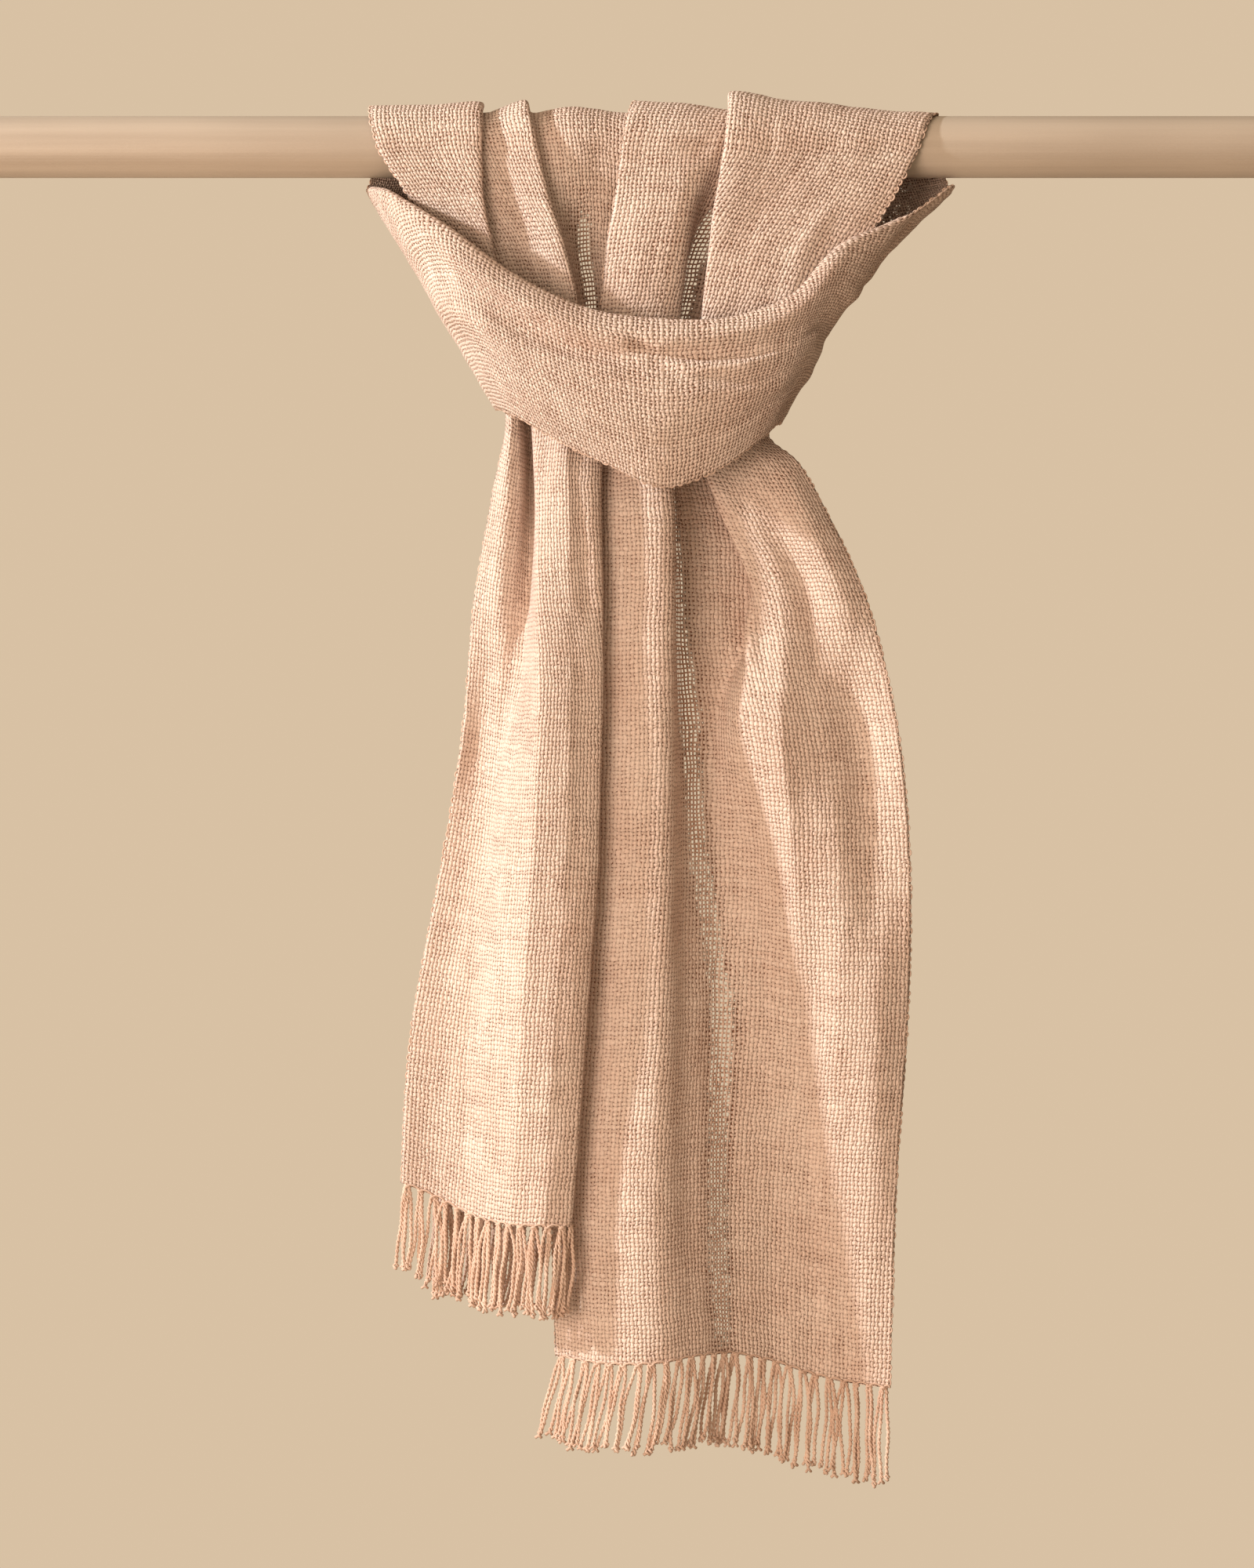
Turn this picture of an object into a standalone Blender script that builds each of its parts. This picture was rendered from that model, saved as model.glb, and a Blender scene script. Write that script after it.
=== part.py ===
"""A loosely woven cotton scarf with fringed ends, folded in half and hitched round a round rod.

Metres, +Z up, +X to the viewer's right and -Y towards the viewer. The origin is on the rod's axis.
Each half of the scarf comes up from its tail in front of the rod, goes over it, down behind it and out
to the side. From there it crosses in front of both halves as one swag. Tables are in millimetres.
"""

import math

import bmesh
import bpy
import numpy as np
from mathutils import Matrix, Vector

MM = 0.001

ROD_RADIUS = 17.5
ROD_LENGTH = 780.0
ROD_SIDES = 64

CLOTH_WIDTH = 220.0
WALL = 1.2
SEAM_GAP = 0.5

# Columns across the cloth for each stretch between two fold lines, and rows for each section.
COLUMNS_PER_FOLD = 2
ROWS_PER_SECTION = 2
ROD_ROWS = 3

# A share of the cloth's width for each fold line, from the outer selvedge to the inner one.
FOLD_LINES = (0.0, 0.13, 0.26, 0.36, 0.46, 0.54, 0.64, 0.74, 0.87, 1.0)

# The fold lines that turn back sharply, counted from the outer selvedge, and the turn's radius.
TURNS = (2, 3, 4, 5)
TURN_RADIUS = 1.1
TURN_SHARE = 0.005

# Hanging sections of the left half, from hem to knot. Each row is one height, with (x, y) at each fold:
# outer selvedge, left ridge, pocket's side, pocket, panel's edge, panel, right fold, behind the fold,
# hidden middle, inner selvedge. Above the knot the pocket is the pleat beside the first front panel.
LEFT_HANGING = (
    (-604, ((-146, -1), (-126, -3), (-110, -10), (-98, -20), (-82, -34),
        (-64, -41), (-49, -37), (-58, -29), (-96, -10), (-129, 9))),
    (-507, ((-141, -1), (-124, -3), (-108, -9), (-94, -24), (-77, -40),
        (-59, -43), (-41, -37), (-49, -30), (-86, -12), (-121, 10))),
    (-406, ((-123, 3), (-108, 1), (-97, -8), (-88, -22), (-71, -42),
        (-52, -43), (-33, -36), (-40, -29), (-75, -11), (-105, 10))),
    (-331, ((-111, 0), (-100, 1), (-90, -8), (-81, -20), (-67, -42),
        (-49, -43), (-31.5, -36), (-40, -29), (-68, -9), (-94, 10))),
    (-256, ((-104, -4), (-94, -11), (-84, -12), (-74, -8), (-67.5, -37),
        (-50, -41), (-32.5, -35), (-40, -28), (-60, -6), (-84, 10))),
    (-195, ((-93, -14), (-86, -22), (-79, -19), (-72, -5), (-68, -31),
        (-50, -41), (-32.5, -34), (-39, -26), (-58, -6), (-80, 9))),
    (-152, ((-86, -17), (-84, -23), (-80, -22), (-74, -7), (-70, -28),
        (-53, -37), (-32.5, -31), (-38, -24), (-56, -8), (-76, 7))),
    (-124, ((-97, -19), (-91, -25), (-84, -27), (-79, -18), (-70, -30),
        (-52, -34), (-39, -30), (-44, -17), (-47, -8), (-46, 1))),
    (-97, ((-107, -20), (-97, -26), (-84, -31), (-90, -24), (-70, -26),
        (-46, -31), (-46, -25), (-41, -9), (-26, -12), (-9, -15))),
    (-59, ((-122, -18), (-108, -25), (-93, -29), (-102, -23), (-78, -22),
        (-54, -31), (-55, -25), (-46, -7), (-26, -9), (-7, -11))),
    (-33, ((-139, -21), (-119, -25), (-98.5, -28), (-109, -22), (-84, -22),
        (-62, -30), (-62, -23), (-49, -16), (-26, -15), (-5, -13))),
)

# Left half round the rod: degrees from the rod's top towards the front, and (x, lift off the rod).
LEFT_ON_ROD = (
    (100, ((-158, 4), (-129, 5), (-100, 6), (-113, 3.4), (-92, 1.6),
        (-69, 8.4), (-66, 2.2), (-48, 4), (-24, 2.2), (-3, 1.4))),
    (50, ((-163, 5), (-131, 5.6), (-100, 6), (-116, 3.5), (-95, 1.6),
        (-73.5, 8.4), (-70, 2), (-50, 4.4), (-24, 2.2), (-2, 1.3))),
    (0, ((-163, 5.5), (-131, 6), (-100, 6.2), (-117, 3.6), (-96, 1.8),
        (-76, 8.4), (-73, 2.2), (-51, 4.6), (-24, 2.2), (-1, 1.3))),
    (-50, ((-163, 4.5), (-134, 5.4), (-108, 6.8), (-115, 3.2), (-101, 1.8),
        (-82, 5), (-78, 1.8), (-60, 2.4), (-36, 1.6), (-14, 1.3))),
    (-100, ((-164, 3.5), (-142, 4.6), (-124, 5.4), (-114, 3), (-104, 1.8),
        (-91, 3.2), (-85, 1.8), (-69, 2), (-50, 1.6), (-30, 1.4))),
)

# The same for the right half, from its inner selvedge to its outer one: inner selvedge, roll, roll's
# edge, valley, fold under the flap, flap's fold, three places across the flap, outer selvedge.
RIGHT_HANGING = (
    (-687, ((-58, -14), (-30, -32), (0, -38), (20, -29), (42, -11),
        (64, -3), (88, -2), (106, -4), (119, -11), (131, -15))),
    (-582, ((-60, -8), (-37, -27), (0, -36), (19, -21), (40, -7),
        (64, -3), (86, -5), (103, -14), (120, -20), (135, -18))),
    (-494, ((-54, -5), (-34, -25), (3, -32), (16, -17), (34, -5),
        (60, -4), (81, -12), (103, -22), (123, -25), (141, -19))),
    (-406, ((-48, -3), (-29, -25), (4, -32), (15, -13), (32, -3),
        (56, -7), (77, -26), (101, -27), (123, -23), (142, -25))),
    (-331, ((-45, -2), (-27.5, -25), (5, -31), (14, -9), (30, -2),
        (46, -22), (69, -31), (90, -24), (112, -18), (135, -28))),
    (-256, ((-43, -2), (-26, -25), (6.6, -31), (13, -7), (56, -3),
        (54, -18), (68, -22), (84, -19), (101, -28), (117, -23))),
    (-208, ((-49, -7), (-22, -28), (7, -31), (12, -5), (50, 0),
        (36, -17), (51, -22), (64, -24), (80, -29), (95, -20))),
    (-180, ((-47, -8), (-21, -28), (6, -30), (12, -4), (41, 0),
        (27, -16), (42, -21), (56, -23), (68, -21), (79, -16))),
    (-164, ((-46, -8), (-20, -28), (6, -28), (12, -4), (37, 0),
        (23, -17), (36, -22), (47, -23), (55, -20), (62, -14))),
    (-130, ((-38, -18), (-16, -30), (9, -27), (13, -5), (40, -5),
        (24, -23), (39, -27), (53, -27), (64, -24), (74, -20))),
    (-97, ((-33, -26), (-13, -31), (11, -26), (14, -6), (44, -9),
        (25, -28), (45, -31), (66, -30), (84, -28), (96, -25))),
    (-59, ((-29, -26), (-8, -30), (15, -26), (20, -3), (51, -8),
        (29.5, -27), (54, -29), (76, -28), (97, -26), (116, -23))),
    (-33, ((-24.6, -26), (-4, -28), (19, -25), (27, -10), (56, -15),
        (32.6, -27), (60, -27), (85, -26), (110, -25), (131.6, -23))),
)

RIGHT_ON_ROD = (
    (100, ((-21, 8), (6, 7.6), (31, 4), (42, 2.2), (58, 3.4),
        (37.4, 9.5), (66, 8.4), (94, 6.6), (122, 4.6), (147, 2.4))),
    (50, ((-17, 8), (8, 7.6), (36, 4), (49, 2), (63, 3.4),
        (40, 11), (67, 9), (94, 6.6), (124, 4), (153, 1.8))),
    (0, ((-12.5, 8.3), (12, 7), (38, 3.4), (52, 2), (66, 3.4),
        (42, 12.6), (70, 9), (97, 7), (127, 3), (159, 1.5))),
    (-50, ((-6, 6), (18, 5.6), (42, 3.4), (54, 2), (64, 3.2),
        (57, 7.8), (79, 6.4), (101, 4.6), (130, 2.6), (160, 1.5))),
    (-100, ((12, 3), (32, 4), (50, 3), (58, 2), (65, 2.8),
        (76, 5.4), (93, 5), (112, 4), (137, 3), (161, 2))),
)

# The swag and both of its legs, from the left leg behind the rod to the right one. Columns: which way
# the cloth faces (0 is the viewer, -90 the left), top edge (x, y, z), low edge (x, y, z), the share of
# the width turned in behind the top edge, how far the middle bulges, and the trough's place and depth.
SWAG_SECTIONS = (
    ("left leg, upper", -172, (-164, 12, -19), (-46, 20, -32), 0.0, 3, 0.40, 0.0),
    ("left leg, lower", -150, (-165, 7, -23), (-66, 13, -97), 0.0, 5, 0.40, 0.0),
    ("left turn, back", -120, (-164, 2, -23), (-83, 3, -139), 0.03, 3, 0.38, 0.0),
    ("left turn", -88, (-160, -8, -24), (-88, -9, -149), 0.12, 2, 0.36, 0.0),
    ("left turn, front", -55, (-150, -22, -28), (-87, -28, -151), 0.24, 4, 0.34, 1.0),
    ("left front", -38, (-117, -41, -50), (-79, -42, -155), 0.38, 9, 0.32, 2.0),
    ("left quarter", -22, (-80, -48, -77), (-55, -49, -170), 0.42, 13, 0.30, 4.0),
    ("left of middle", -8, (-40, -52, -96), (-27, -51, -184), 0.42, 15, 0.28, 4.5),
    ("middle", 0, (0, -53, -102), (2, -51, -196), 0.42, 15, 0.25, 5.0),
    ("right of middle", 10, (40, -51, -101), (31, -47, -187), 0.42, 13, 0.22, 5.0),
    ("right quarter", 24, (74, -46, -88), (54, -41, -170), 0.34, 10, 0.28, 4.0),
    ("right front", 42, (101, -38, -60), (64, -34, -160), 0.15, 7, 0.42, 3.0),
    ("right turn, front", 62, (134, -25, -44), (67, -22, -158), 0.0, -1, 0.50, 2.0),
    ("right turn", 90, (165, -8, -23), (67, -6, -157), 0.0, -14, 0.50, 0.0),
    ("right turn, back", 120, (166, 3, -24), (65, 5, -146), 0.0, -9, 0.50, 0.0),
    ("right leg, lower", 150, (166, 8, -24), (52, 14, -100), 0.0, 6, 0.50, 0.0),
    ("right leg, upper", 172, (165, 13, -19), (32, 20, -34), 0.0, 3, 0.50, 0.0),
)
LEG_SECTIONS = 2

# The swag's top fold, the cloth turned in behind it, and how its front swells and flattens out.
FOLD_RADIUS = 3.0
TUCK_SLACK = 0.6
LEAST_TURN = 0.02
TUCK_COLUMNS = (0.0, 0.6)
FRONT_COLUMNS = 18
COLUMN_CROWDING = 1.2
MIDDLE_SWELL = 0.7
EDGE_FLATTENING = 0.8
FLAT_FROM = 0.55
TROUGH_WIDTH = 0.09
TOP_ROLL = 0.16

# Each fringe: the hem's heights at its two ends and between, and how far each strand runs down.
LEFT_HEM = ((-588, -596, -604, -608, -610, -610, -610, -608, -603, -600), (-47, -52), (-3, -4))
RIGHT_HEM = ((-685, -688, -687, -684, -684, -689, -697, -701, -702, -703), (-46, -55), (-11, 0))
STRANDS = 56
STRAND_SHARE = 0.45
STRIP_DROP = 4.0
STRAND_PARTS = 1
STRAND_TAPER = 0.85

COTTON = (0.74, 0.50, 0.37, 1.0)
FRINGE_COTTON = (0.78, 0.54, 0.41, 1.0)
PAINTED_WOOD = (0.60, 0.47, 0.33, 1.0)


def blend(first, second, start, end, at):
    """The point a share of the way from first to second, as at lies between start and end."""
    share = (at - start) / (end - start)
    return first * (1 - share) + second * share


def smooth_line(points, per_span):
    """Points of a centripetal Catmull-Rom curve through rows of numbers, per_span to each span."""
    rows = np.asarray(points, float)
    rows = np.vstack([2 * rows[0] - rows[1], rows, 2 * rows[-1] - rows[-2]])
    spans = len(rows) - 3
    counts = [per_span] * spans if np.isscalar(per_span) else list(per_span)
    found = [rows[1]]
    for index, count in enumerate(counts):
        p0, p1, p2, p3 = rows[index : index + 4]
        steps = np.sqrt(np.linalg.norm(np.diff(rows[index : index + 4], axis=0), axis=1)) + 1e-3
        t0, t1, t2, t3 = np.concatenate([[0.0], np.cumsum(steps)])
        for place in range(1, count + 1):
            at = t1 + (t2 - t1) * place / count
            a1 = blend(p0, p1, t0, t1, at)
            a2 = blend(p1, p2, t1, t2, at)
            a3 = blend(p2, p3, t2, t3, at)
            found.append(blend(blend(a1, a2, t0, t2, at), blend(a2, a3, t1, t3, at), t1, t2, at))
    return np.array(found)


def on_rod(table):
    """Sections round the rod, from rows of degrees towards the front and (x, lift) at each fold."""
    flat = [(angle, *np.ravel(lifts)) for angle, lifts in table]
    found = []
    for angle, *lifts in smooth_line(flat, ROD_ROWS):
        turn = math.radians(angle)
        pairs = np.reshape(lifts, (-1, 2))
        reach = ROD_RADIUS + pairs[:, 1]
        found.append(np.stack([pairs[:, 0], -reach * math.sin(turn), reach * math.cos(turn)], axis=1))
    return found


def swag_section(row, shares):
    """One section of the swag at the given shares of the cloth's width, round its top fold."""
    facing, turned, bulge, trough_at, trough = row[[0, 7, 8, 9, 10]]
    top = row[1:4]
    low = row[4:7]
    out = np.array([math.sin(math.radians(facing)), -math.cos(math.radians(facing)), 0.0])
    reach = math.hypot((1 - turned) * CLOTH_WIDTH, FOLD_RADIUS) - FOLD_RADIUS
    points = []
    for share in shares:
        past = (share - turned) * CLOTH_WIDTH
        slack = TUCK_SLACK if past < 0 else 1.0
        down = slack * (math.hypot(past, FOLD_RADIUS) - FOLD_RADIUS) / reach
        swell = bulge * (1 - (1 - min(down / TOP_ROLL, 1.0)) ** 2)
        swell *= MIDDLE_SWELL + (1 - MIDDLE_SWELL) * math.sin(math.pi * down)
        swell *= 1 - EDGE_FLATTENING * max(0.0, (down - FLAT_FROM) / (1 - FLAT_FROM)) ** 2
        swell -= trough * math.exp(-(((down - trough_at) / TROUGH_WIDTH) ** 2))
        swell += FOLD_RADIUS * math.tanh(past / FOLD_RADIUS)
        points.append(top + (low - top) * down + out * swell)
    return points


def swag_shares(turned):
    """The width's shares at which the swag has its columns, with one of them on the top fold."""
    front = (np.arange(FRONT_COLUMNS + 1) / FRONT_COLUMNS) ** COLUMN_CROWDING
    return np.concatenate([turned * np.array(TUCK_COLUMNS), turned + (1 - turned) * front])


def heights(section):
    z, pairs = section
    return [(x, y, z) for x, y in pairs]


def rounded(section, turns):
    """A section with each turning point parted in two, so that the cloth turns back on a radius."""
    found = []
    for index, place in enumerate(section):
        if index not in turns:
            found.append(place)
            continue
        before = section[index - 1] - place
        after = section[index + 1] - place
        side = before / np.linalg.norm(before) - after / np.linalg.norm(after)
        side *= TURN_RADIUS / np.linalg.norm(side)
        found += [place + side, place - side]
    return found


def half_sections(hanging, on_the_rod, hem_heights, outer_first):
    """Every section of one half, from its hem up, over the rod and down behind it."""
    first = [(x, y, z) for (x, y), z in zip(hanging[0][1], hem_heights)]
    sections = [first] + [heights(row) for row in hanging[1:]]
    sections += on_rod(on_the_rod)
    last = len(FOLD_LINES) - 1
    turns = TURNS if outer_first else [last - turn for turn in TURNS]
    return [rounded(section, turns) for section in np.array(sections, float)]


def surface(sections, rows_per_span, columns):
    """A grid of points through the sections: smooth along each fold line, then across."""
    lines = [smooth_line(sections[:, fold], rows_per_span) for fold in range(sections.shape[1])]
    return np.array([smooth_line(row, columns) for row in np.stack(lines, axis=1)])


def parted(grid, start_gap, end_gap):
    """The grid with its first and last rows drawn in, so that neighbours stand apart at a seam."""
    grid = grid.copy()
    for edge, inner, gap in ((0, 1, start_gap), (-1, -2, end_gap)):
        step = grid[inner] - grid[edge]
        length = np.linalg.norm(step, axis=1, keepdims=True)
        grid[edge] += step / np.maximum(length, 1e-6) * gap
    return grid


def material(name, colour, roughness):
    made = bpy.data.materials.new(name)
    made.use_nodes = True
    shader = made.node_tree.nodes["Principled BSDF"]
    shader.inputs["Base Color"].default_value = colour
    shader.inputs["Roughness"].default_value = roughness
    shader.inputs["Metallic"].default_value = 0.0
    return made


def keep(name, mesh, look, smooth):
    """Puts a mesh in the scarf's collection as one named node."""
    mesh.materials.append(look)
    for face in mesh.polygons:
        face.use_smooth = smooth
    node = bpy.data.objects.new(name, mesh)
    collection.objects.link(node)
    return node


def cloth(name, grid):
    """A wall of cloth: a grid shaped by its sections and thickened to both sides."""
    rows, columns = grid.shape[:2]
    work = bmesh.new()
    bmesh.ops.create_grid(work, x_segments=columns - 1, y_segments=rows - 1, size=0.5)
    work.verts.ensure_lookup_table()
    order = sorted(work.verts, key=lambda v: (round(v.co.y, 5), round(v.co.x, 5)))
    for vertex, place in zip(order, grid.reshape(-1, 3)):
        vertex.co = Vector(place * MM)
    mesh = bpy.data.meshes.new(name)
    work.to_mesh(mesh)
    work.free()
    node = keep(name, mesh, material(name, COTTON, 0.9), True)
    wall = node.modifiers.new("wall", "SOLIDIFY")
    wall.thickness = WALL * MM
    wall.offset = 0.0
    return node


def fringe(name, hem_line, drops, slants):
    """A narrow strip along the hem, with every other piece of its low edge drawn down as a strand."""
    along = np.concatenate([[0.0], np.cumsum(np.linalg.norm(np.diff(hem_line, axis=0), axis=1))])
    pitch = along[-1] / STRANDS
    edges = [0.0]
    for strand in range(STRANDS):
        middle = (strand + 0.5) * pitch
        edges += [middle - pitch * STRAND_SHARE / 2, middle + pitch * STRAND_SHARE / 2]
    edges.append(along[-1])
    places = np.array([[np.interp(e, along, hem_line[:, axis]) for axis in range(3)] for e in edges])
    work = bmesh.new()
    bmesh.ops.create_grid(work, x_segments=len(edges) - 1, y_segments=1, size=0.5)
    order = sorted(work.verts, key=lambda v: (-round(v.co.y, 5), round(v.co.x, 5)))
    for index, vertex in enumerate(order):
        lower = index >= len(edges)
        drop = SEAM_GAP + (STRIP_DROP if lower else 0.0)
        place = places[index % len(edges)] - (0, 0, drop)
        vertex.co = Vector(place * MM)
    work.normal_update()
    bmesh.ops.solidify(work, geom=work.faces[:], thickness=WALL * MM)
    bmesh.ops.recalc_face_normals(work, faces=work.faces[:])
    work.normal_update()
    low = []
    for index in range(1, len(edges) - 1, 2):
        middle = (places[index] + places[index + 1]) / 2 - (0, 0, SEAM_GAP + STRIP_DROP)
        target = Vector(middle * MM)
        low.append(min(
            (face for face in work.faces if face.normal.z < -0.8),
            key=lambda face: (face.calc_center_median() - target).length,
        ))
    for strand, face in enumerate(low):
        share = strand / (STRANDS - 1)
        drop = drops[0] + (drops[1] - drops[0]) * share + STRIP_DROP
        slant = slants[0] + (slants[1] - slants[0]) * share
        for _ in range(STRAND_PARTS):
            made = bmesh.ops.extrude_discrete_faces(work, faces=[face])
            face = made["faces"][0]
            centre = face.calc_center_median()
            shift = Vector((slant, 0, drop)) * (MM / STRAND_PARTS)
            for vertex in face.verts:
                vertex.co = centre + (vertex.co - centre) * STRAND_TAPER + shift
    mesh = bpy.data.meshes.new(name)
    work.to_mesh(mesh)
    work.free()
    return keep(name, mesh, material(name, FRINGE_COTTON, 0.85), False)


def rod():
    work = bmesh.new()
    bmesh.ops.create_cone(
        work, cap_ends=True, segments=ROD_SIDES, radius1=ROD_RADIUS * MM,
        radius2=ROD_RADIUS * MM, depth=ROD_LENGTH * MM,
    )
    bmesh.ops.rotate(work, verts=work.verts[:], cent=(0, 0, 0), matrix=Matrix.Rotation(math.pi / 2, 3, "Y"))
    mesh = bpy.data.meshes.new("rod")
    work.to_mesh(mesh)
    work.free()
    node = keep("rod", mesh, material("rod", PAINTED_WOOD, 0.5), True)
    mesh.set_sharp_from_angle(angle=math.radians(40))
    return node


for old in list(bpy.data.objects):
    bpy.data.objects.remove(old)
collection = bpy.data.collections.new("cotton_scarf")
bpy.context.scene.collection.children.link(collection)

rod()

# The cloth's share at each line of a half, with two lines at each turn, and the columns between lines.
line_shares = []
columns = []
for index, share in enumerate(FOLD_LINES):
    twins = [share - TURN_SHARE, share + TURN_SHARE] if index in TURNS else [share]
    line_shares += twins
    columns += [1] * (len(twins) - 1) + [COLUMNS_PER_FOLD]
columns.pop()
starts = np.concatenate([[0], np.cumsum(columns)])
shares = np.interp(np.arange(starts[-1] + 1), starts, line_shares)

# The swag's table drawn out into its rows, and how many of them lie on each leg.
swag_rows = smooth_line(
    [(facing, *top, *low, *rest) for _, facing, top, low, *rest in SWAG_SECTIONS], ROWS_PER_SECTION
)
leg = ROWS_PER_SECTION * (LEG_SECTIONS - 1)

HALVES = (
    ("left", LEFT_HANGING, LEFT_ON_ROD, LEFT_HEM, swag_rows[: leg + 2], 1),
    ("right", RIGHT_HANGING, RIGHT_ON_ROD, RIGHT_HEM, swag_rows[: -leg - 3 : -1], -1),
)
for side, hanging, around, hem, legs, order in HALVES:
    sections = half_sections(hanging, around, hem[0], order == 1)
    sections += [swag_section(row, line_shares[::order]) for row in legs]
    # Spans of the tail, up to the knot, then of the front fall, up to the rod's top back.
    tail_spans = len(hanging) - 4
    rod_spans = ROD_ROWS * (len(around) - 1)
    fall_spans = tail_spans + 4 + rod_spans - ROD_ROWS
    spans = [ROWS_PER_SECTION] * (tail_spans + 4) + [1] * rod_spans + [ROD_ROWS] + [1] * (leg + 1)
    grid = surface(np.array(sections), spans, columns[::order])
    tail_end = sum(spans[:tail_spans])
    fall_end = sum(spans[:fall_spans])
    back_end = sum(spans[:-1])
    grid[back_end] = swag_section(legs[leg], shares)[::order]
    cloth(f"{side}_tail", parted(grid[: tail_end + 1], 0.0, SEAM_GAP / 2))
    cloth(f"{side}_fall", parted(grid[tail_end : fall_end + 1], SEAM_GAP / 2, SEAM_GAP / 2))
    cloth(f"{side}_back", parted(grid[fall_end : back_end + 1], SEAM_GAP / 2, SEAM_GAP / 2))
    fringe(f"{side}_fringe", grid[0], hem[1], hem[2])

swag_rows[:, 7] = np.maximum(swag_rows[:, 7], LEAST_TURN)
swag = np.array([swag_section(row, swag_shares(row[7])) for row in swag_rows[leg:-leg]])
cloth("swag", parted(swag, 2 * SEAM_GAP, 2 * SEAM_GAP))
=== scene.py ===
import math
import random

import bmesh
import bpy
import numpy as np
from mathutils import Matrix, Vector, noise


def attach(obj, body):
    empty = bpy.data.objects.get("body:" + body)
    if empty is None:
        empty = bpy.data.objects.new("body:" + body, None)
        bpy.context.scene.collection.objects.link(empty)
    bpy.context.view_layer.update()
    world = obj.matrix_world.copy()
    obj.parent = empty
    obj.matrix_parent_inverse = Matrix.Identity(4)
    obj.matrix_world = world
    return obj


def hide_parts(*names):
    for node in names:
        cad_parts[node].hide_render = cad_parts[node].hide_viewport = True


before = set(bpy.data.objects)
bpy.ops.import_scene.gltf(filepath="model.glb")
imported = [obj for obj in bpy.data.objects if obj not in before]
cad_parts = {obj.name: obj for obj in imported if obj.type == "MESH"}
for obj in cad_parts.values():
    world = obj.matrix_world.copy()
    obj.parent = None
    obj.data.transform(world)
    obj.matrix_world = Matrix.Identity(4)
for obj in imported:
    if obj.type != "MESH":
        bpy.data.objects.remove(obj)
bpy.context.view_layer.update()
MM = 0.001

# --- The rod -------------------------------------------------------------------------------------
# A round wooden rail, 35 mm thick, painted a warm beige and rubbed smooth, so its grain only shows as
# faint streaks along it. The scarf hangs on it by its hitch. Its own solid stays and gets this finish.


class Value:
    """A number that varies over a surface. Python's operators on it add the Math nodes that work it out."""

    def __init__(self, tree, socket):
        self.tree = tree
        self.socket = socket

    def work(self, operation, *others):
        node = self.tree.nodes.new("ShaderNodeMath")
        node.operation = operation
        for place, given in enumerate((self, *others)):
            if isinstance(given, Value):
                self.tree.links.new(given.socket, node.inputs[place])
            else:
                node.inputs[place].default_value = given
        return Value(self.tree, node.outputs[0])

    def __add__(self, other):
        return self.work("ADD", other)

    def __sub__(self, other):
        return self.work("SUBTRACT", other)

    def __rsub__(self, other):
        return (self * -1.0) + other

    def __mul__(self, other):
        return self.work("MULTIPLY", other)

    def __truediv__(self, other):
        return self.work("DIVIDE", other)

    def __abs__(self):
        return self.work("ABSOLUTE")

    def floor(self):
        return self.work("FLOOR")

    def cosine(self):
        return self.work("COSINE")

    def most(self, other):
        return self.work("MAXIMUM", other)

    def least(self, other):
        return self.work("MINIMUM", other)

    def over(self, other):
        return self.work("GREATER_THAN", other)

    def rise(self, low, high):
        """0 below low, 1 above high, and a soft step between them."""
        node = self.tree.nodes.new("ShaderNodeMapRange")
        node.interpolation_type = "SMOOTHSTEP"
        self.tree.links.new(self.socket, node.inputs["Value"])
        node.inputs["From Min"].default_value = low
        node.inputs["From Max"].default_value = high
        return Value(self.tree, node.outputs["Result"])


class Finish:
    """A material while it is being mixed: its shader, and one way to add any other node."""

    def __init__(self, name, **constants):
        self.material = bpy.data.materials.new(name)
        self.material.use_nodes = True
        self.tree = self.material.node_tree
        self.shader = self.tree.nodes["Principled BSDF"]
        for socket, constant in constants.items():
            self.shader.inputs[socket.replace("_", " ")].default_value = constant

    def feed(self, socket, given):
        if isinstance(given, Value):
            self.tree.links.new(given.socket, socket)
        elif isinstance(given, bpy.types.NodeSocket):
            self.tree.links.new(given, socket)
        else:
            socket.default_value = given

    def node(self, kind, settings=None, **sockets):
        made = self.tree.nodes.new("ShaderNode" + kind)
        for name, setting in (settings or {}).items():
            setattr(made, name, setting)
        for name, given in sockets.items():
            place = int(name[1:]) if name[1:].isdigit() else name.replace("_", " ")
            self.feed(made.inputs[place], given)
        return made

    def speckle(self, vector, scale, detail=1.0):
        """Soft random blotches, about 0.5 in the middle of their range."""
        made = self.node("TexNoise", Vector=vector, Scale=scale, Detail=detail)
        return Value(self.tree, made.outputs["Fac"])

    def vector(self, x, y, z):
        return self.node("CombineXYZ", X=x, Y=y, Z=z).outputs["Vector"]

    def blend(self, share, first, second):
        """One colour turning into another as share goes from 0 to 1."""
        made = self.node("Mix", {"data_type": "RGBA"}, _0=share, _6=first, _7=second)
        return made.outputs[2]

    def relief(self, height):
        """Light and shade for a height in metres."""
        bump = self.node("Bump", Strength=1.0, Distance=1.0, Height=height)
        self.feed(self.shader.inputs["Normal"], bump.outputs["Normal"])


def painted_rail():
    finish = Finish("painted_rail", Specular_IOR_Level=0.35)
    place = finish.node("TexCoord").outputs["Object"]
    grain = finish.node("Mapping", Vector=place, Scale=(2.2, 90.0, 90.0)).outputs["Vector"]
    streak = finish.speckle(grain, 1.0, 4.0)
    cloud = finish.speckle(place, 9.0, 2.0)
    fleck = finish.speckle(place, 700.0, 1.0)
    shade = (streak * 0.7 + cloud * 0.3).rise(0.32, 0.68)
    wood = finish.blend(shade, (0.46, 0.39, 0.32, 1), (0.56, 0.485, 0.405, 1))
    finish.feed(finish.shader.inputs["Base Color"], wood)
    finish.feed(finish.shader.inputs["Roughness"], streak * 0.2 + 0.42)
    finish.relief(streak * 0.00025 + fleck * 0.00004)
    return finish.material


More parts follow.
